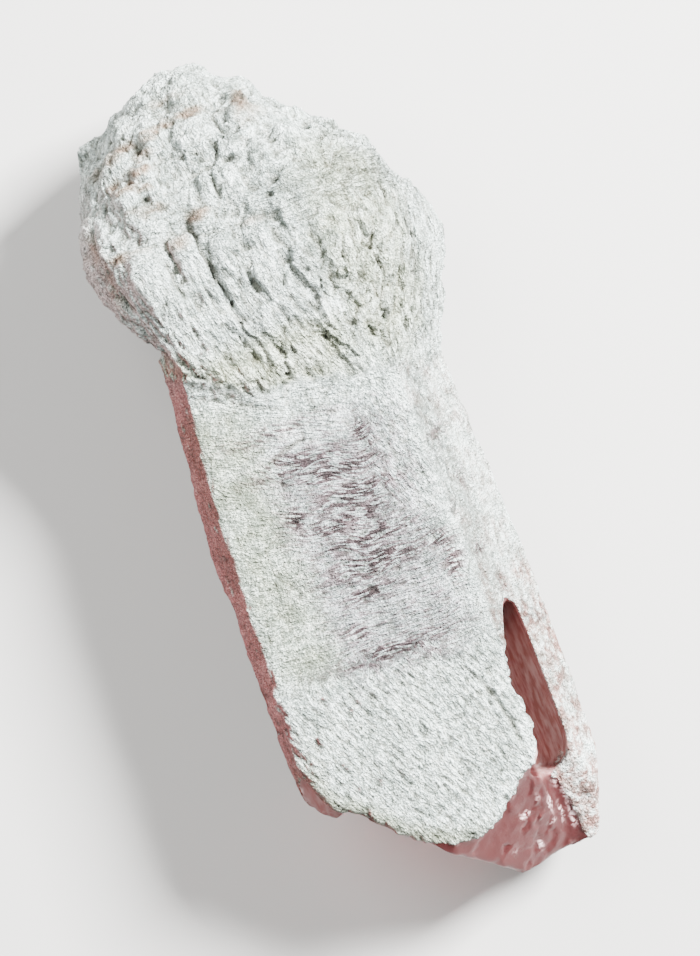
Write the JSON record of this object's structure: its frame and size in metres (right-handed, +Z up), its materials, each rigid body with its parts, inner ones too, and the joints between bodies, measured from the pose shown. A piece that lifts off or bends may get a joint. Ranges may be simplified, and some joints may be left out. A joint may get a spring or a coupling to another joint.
{
  "type": "scepter quartz crystal",
  "caption": "Scepter quartz crystal: a flat six-sided shaft, broken glassy at its foot, under a wider head of parallel-grown columns.",
  "frame": {"origin": "on the surface that the crystal lies on, below the middle of its bounding box", "axes": "+Y from the broken foot to the head, +X across the broad front face to its right, +Z up out of the front face"},
  "size_m": [0.0442, 0.1106, 0.031],
  "materials": {
    "quartz": "rough white crust of tiny crystals, opaque from outside, over clear glassy quartz that shows where the foot is broken"
  },
  "bodies": {
    "root": {"scepter_crystal": "quartz"}
  },
  "joints": []
}
